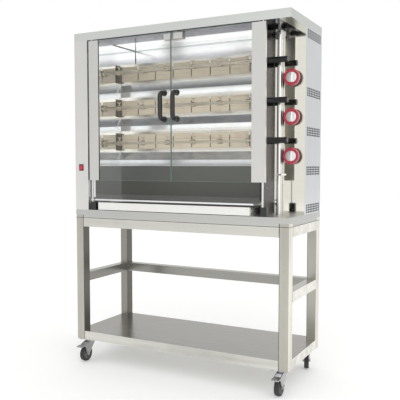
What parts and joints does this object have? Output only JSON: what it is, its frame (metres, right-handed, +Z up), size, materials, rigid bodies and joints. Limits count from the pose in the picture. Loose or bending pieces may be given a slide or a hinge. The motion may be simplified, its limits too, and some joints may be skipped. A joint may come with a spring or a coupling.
{
  "type": "gas chicken rotisserie oven",
  "caption": "Floor-standing gas rotisserie oven with glass doors, spits, burner rows and side controls, on a wheeled stainless stand with a shelf.",
  "frame": {"origin": "on the floor, at the middle of the box round the whole machine", "axes": "+X to the right side seen from the front, +Y to the back, +Z up"},
  "size_m": [1.2, 0.562, 1.743],
  "materials": {
    "door_glass": "clear toughened glass",
    "burner_ceramic": "porous cream ceramic",
    "black_grip": "satin black",
    "knob_plastic": "black with red bezel and silver cap",
    "switch_red": "translucent red",
    "black_plastic": "matte black",
    "wheel_rubber": "solid black tread",
    "valve_brass": "machined",
    "motor_paint": "grey paint",
    "polished_steel": "bright polished",
    "zinc_steel": "zinc plated",
    "brushed_steel": "fine brushed grain"
  },
  "bodies": {
    "frame": {"base_plinth": "brushed_steel", "bottom_shelf": "brushed_steel", "burner_housings": "brushed_steel", "burner_plaques": "burner_ceramic", "burner_reflectors": "polished_steel", "caster_plates": "zinc_steel", "chamber_back_wall": "polished_steel", "chamber_ceiling": "brushed_steel", "chamber_floor": "polished_steel", "control_panel": "polished_steel", "door_catch": "brushed_steel", "door_pivot_blocks": "black_plastic", "drawer_runners": "brushed_steel", "drive_chain": "zinc_steel", "drive_motor": "motor_paint", "gas_inlet": "brushed_steel", "gas_manifold": "brushed_steel", "gas_valves": "valve_brass", "left_column_cover": "brushed_steel", "left_inner_wall": "polished_steel", "lower_back_panel": "polished_steel", "panel_screws": "zinc_steel", "rear_cover": "brushed_steel", "right_inner_wall": "polished_steel", "right_side_panel": "brushed_steel", "roof_cover": "brushed_steel", "spit_bearings": "zinc_steel", "stand_legs": "brushed_steel", "stand_rails": "brushed_steel", "switch_housing": "black_plastic"},
    "left_door": {"left_door_glass": "door_glass", "left_door_stile": "brushed_steel", "left_door_handle": "black_grip"},
    "right_door": {"right_door_glass": "door_glass", "right_door_stile": "brushed_steel", "right_door_handle": "black_grip"},
    "motor_sprocket": {"motor_sprocket": "zinc_steel"},
    "switch_rocker": {"switch_rocker": "switch_red"},
    "drip_drawer": {"drip_drawer_front": "brushed_steel", "drip_drawer_tray": "brushed_steel"},
    "spit_1": {"spit_1_rod": "polished_steel", "spit_1_grip": "black_grip"},
    "spit_2": {"spit_2_rod": "polished_steel", "spit_2_grip": "black_grip"},
    "spit_3": {"spit_3_rod": "polished_steel", "spit_3_grip": "black_grip"},
    "knob_1": {"knob_1": "knob_plastic"},
    "knob_2": {"knob_2": "knob_plastic"},
    "knob_3": {"knob_3": "knob_plastic"},
    "caster_front_left": {"caster_front_left_fork": "zinc_steel"},
    "caster_front_left_wheel": {"caster_front_left_wheel": "wheel_rubber"},
    "caster_front_left_pedal": {"caster_front_left_pedal": "zinc_steel"},
    "caster_front_right": {"caster_front_right_fork": "zinc_steel"},
    "caster_front_right_wheel": {"caster_front_right_wheel": "wheel_rubber"},
    "caster_front_right_pedal": {"caster_front_right_pedal": "zinc_steel"},
    "caster_rear_left": {"caster_rear_left_fork": "zinc_steel"},
    "caster_rear_left_wheel": {"caster_rear_left_wheel": "wheel_rubber"},
    "caster_rear_right": {"caster_rear_right_fork": "zinc_steel"},
    "caster_rear_right_wheel": {"caster_rear_right_wheel": "wheel_rubber"}
  },
  "joints": [
    {"name": "left_door_hinge", "type": "hinge", "parent": "frame", "child": "left_door", "pos_m": [-0.492, -0.223, 1.336], "axis": [0, 0, -1], "range_deg": [0, 110]},
    {"name": "right_door_hinge", "type": "hinge", "parent": "frame", "child": "right_door", "pos_m": [0.467, -0.223, 1.336], "axis": [0, 0, 1], "range_deg": [0, 110]},
    {"name": "drip_drawer_slide", "type": "slide", "parent": "frame", "child": "drip_drawer", "axis": [0, -1, 0], "range_m": [0, 0.26]},
    {"name": "switch_rocker_tilt", "type": "hinge", "parent": "frame", "child": "switch_rocker", "pos_m": [-0.562, -0.224, 1.041], "axis": [1, 0, 0], "range_deg": [0, 9]},
    {"name": "spit_1_turn", "type": "hinge", "parent": "frame", "child": "spit_1", "pos_m": [0, -0.089, 1.546], "axis": [1, 0, 0], "continuous": true},
    {"name": "spit_2_turn", "type": "hinge", "parent": "frame", "child": "spit_2", "pos_m": [0, -0.089, 1.3585], "axis": [1, 0, 0], "continuous": true},
    {"name": "spit_3_turn", "type": "hinge", "parent": "frame", "child": "spit_3", "pos_m": [0, -0.089, 1.171], "axis": [1, 0, 0], "continuous": true},
    {"name": "motor_sprocket_turn", "type": "hinge", "parent": "frame", "child": "motor_sprocket", "pos_m": [-0.57, -0.089, 0.878], "axis": [1, 0, 0], "continuous": true},
    {"name": "knob_1_turn", "type": "hinge", "parent": "frame", "child": "knob_1", "pos_m": [0.541, -0.05, 1.466], "axis": [0, -1, 0], "range_deg": [0, 210]},
    {"name": "knob_2_turn", "type": "hinge", "parent": "frame", "child": "knob_2", "pos_m": [0.541, -0.05, 1.2815], "axis": [0, -1, 0], "range_deg": [0, 210]},
    {"name": "knob_3_turn", "type": "hinge", "parent": "frame", "child": "knob_3", "pos_m": [0.541, -0.05, 1.097], "axis": [0, -1, 0], "range_deg": [0, 210]},
    {"name": "caster_front_left_swivel", "type": "hinge", "parent": "frame", "child": "caster_front_left", "pos_m": [-0.552, -0.183, 0.1], "axis": [0, 0, 1], "continuous": true},
    {"name": "caster_front_left_roll", "type": "hinge", "parent": "caster_front_left", "child": "caster_front_left_wheel", "pos_m": [-0.552, -0.218, 0.04], "axis": [-1, 0, 0], "continuous": true},
    {"name": "caster_front_left_brake", "type": "hinge", "parent": "caster_front_left", "child": "caster_front_left_pedal", "pos_m": [-0.552, -0.239, 0.087], "axis": [1, 0, 0], "range_deg": [0, 20]},
    {"name": "caster_front_right_swivel", "type": "hinge", "parent": "frame", "child": "caster_front_right", "pos_m": [0.552, -0.183, 0.1], "axis": [0, 0, 1], "continuous": true},
    {"name": "caster_front_right_roll", "type": "hinge", "parent": "caster_front_right", "child": "caster_front_right_wheel", "pos_m": [0.552, -0.218, 0.04], "axis": [-1, 0, 0], "continuous": true},
    {"name": "caster_front_right_brake", "type": "hinge", "parent": "caster_front_right", "child": "caster_front_right_pedal", "pos_m": [0.552, -0.239, 0.087], "axis": [1, 0, 0], "range_deg": [0, 20]},
    {"name": "caster_rear_left_swivel", "type": "hinge", "parent": "frame", "child": "caster_rear_left", "pos_m": [-0.552, 0.183, 0.1], "axis": [0, 0, 1], "continuous": true},
    {"name": "caster_rear_left_roll", "type": "hinge", "parent": "caster_rear_left", "child": "caster_rear_left_wheel", "pos_m": [-0.54713, 0.21766, 0.04], "axis": [0.9903, -0.1392, 0], "continuous": true},
    {"name": "caster_rear_right_swivel", "type": "hinge", "parent": "frame", "child": "caster_rear_right", "pos_m": [0.552, 0.183, 0.1], "axis": [0, 0, 1], "continuous": true},
    {"name": "caster_rear_right_roll", "type": "hinge", "parent": "caster_rear_right", "child": "caster_rear_right_wheel", "pos_m": [0.5413, 0.21632, 0.04], "axis": [0.9521, 0.3057, 0], "continuous": true}
  ],
  "couplings": [
    {"joint": "spit_2_turn", "follows": "spit_1_turn", "ratio": 1},
    {"joint": "spit_3_turn", "follows": "spit_1_turn", "ratio": 1},
    {"joint": "motor_sprocket_turn", "follows": "spit_1_turn", "ratio": 1}
  ]
}
